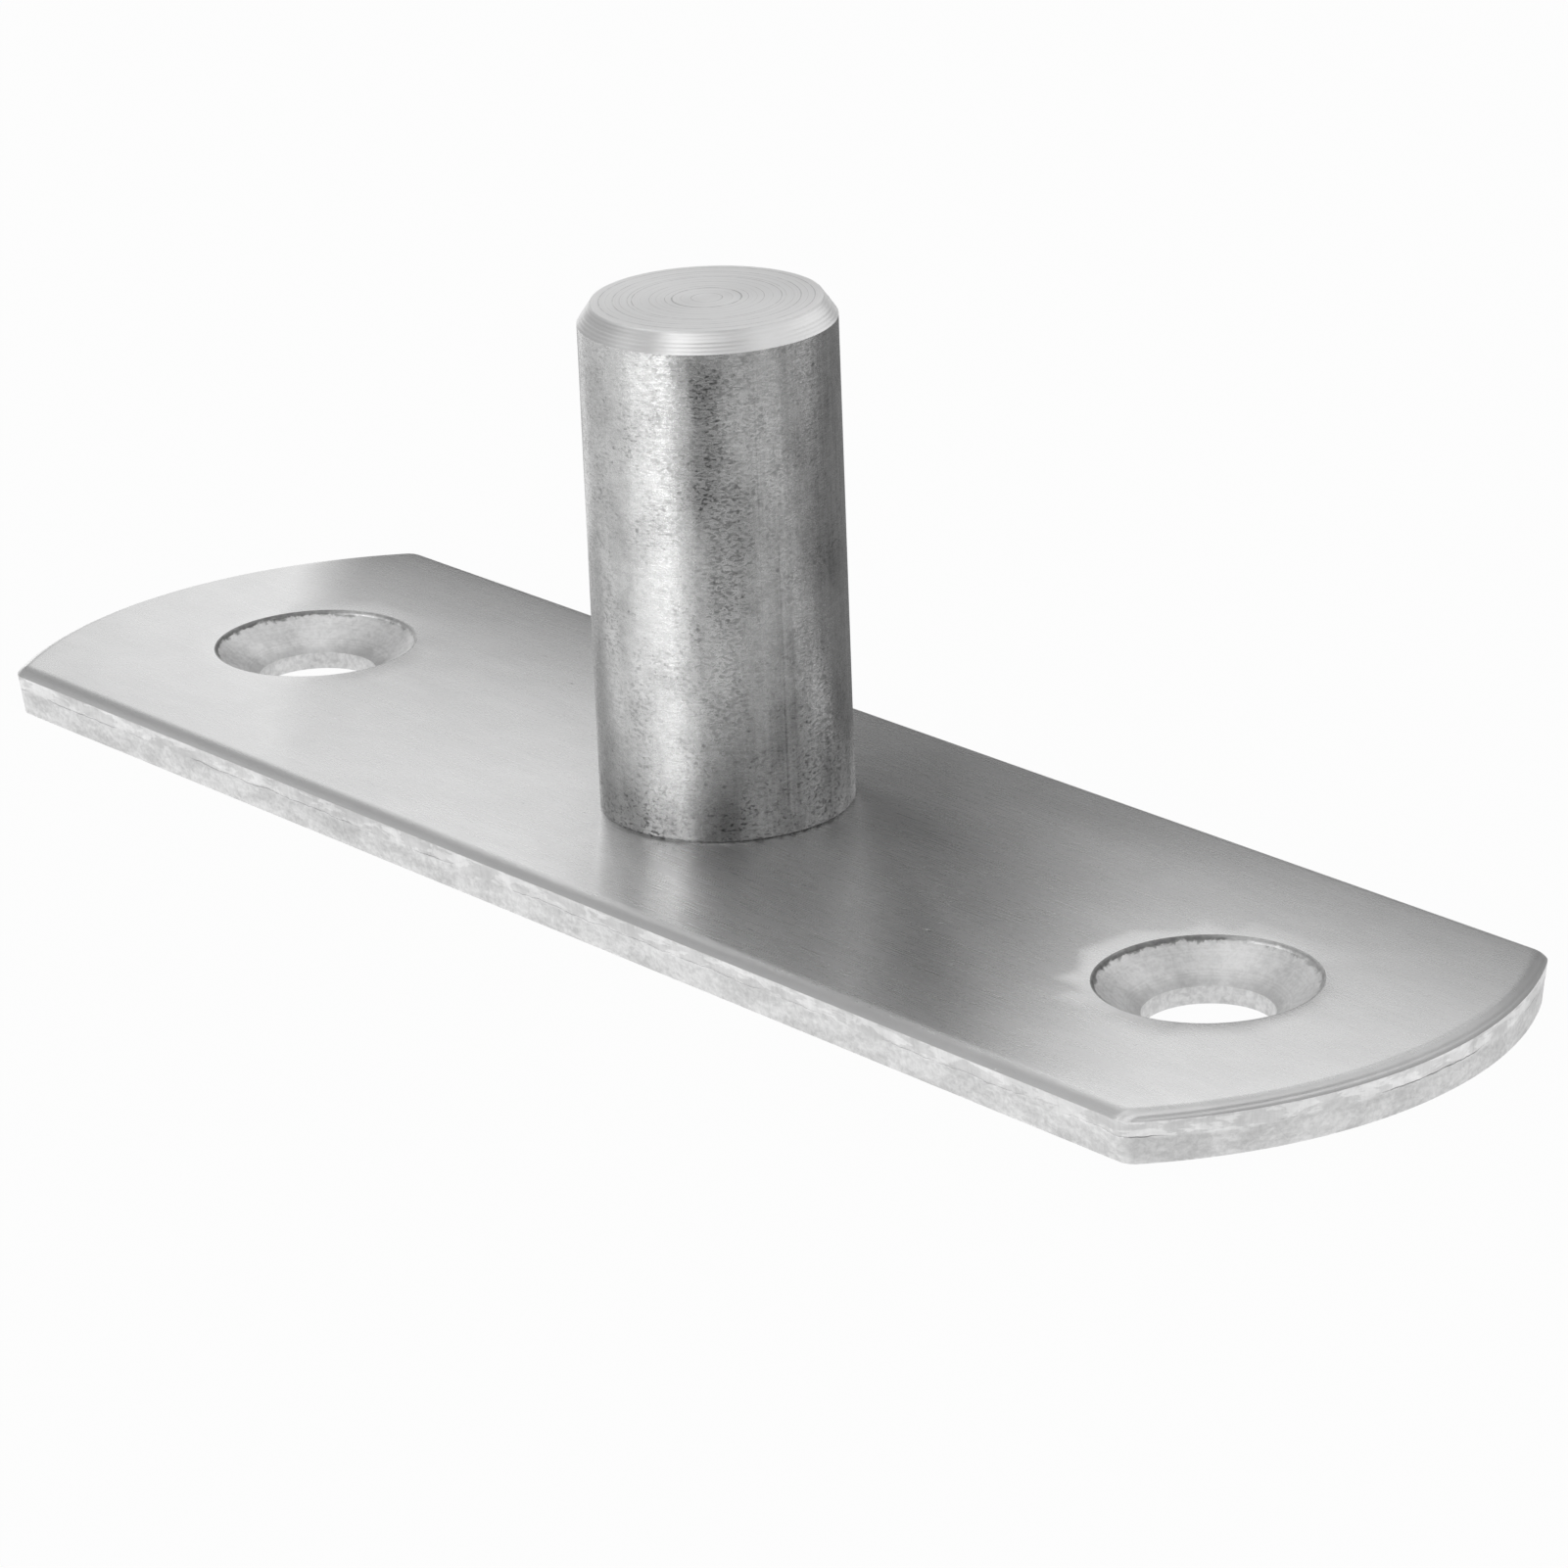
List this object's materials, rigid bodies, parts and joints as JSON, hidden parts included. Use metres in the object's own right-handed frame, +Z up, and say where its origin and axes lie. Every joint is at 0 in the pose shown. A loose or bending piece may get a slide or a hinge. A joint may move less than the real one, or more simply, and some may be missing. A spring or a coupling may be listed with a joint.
{
  "type": "glass door pivot hinge",
  "caption": "Flat steel plate with curved ends and countersunk screw holes, and an upright pivot pin riveted through its middle for a glass door's fitting to turn on.",
  "frame": {"origin": "on the pivot pin's axis, at the underside of the plate", "axes": "+X along the plate, +Y across it, +Z up the pivot pin"},
  "size_m": [0.112, 0.032, 0.0335],
  "materials": {
    "plate_steel": "satin, brushed along the plate",
    "pin_steel": "drawn bar, mottled, with a turned end"
  },
  "bodies": {
    "root": {"base_plate": "plate_steel", "pivot_pin": "pin_steel"}
  },
  "joints": []
}
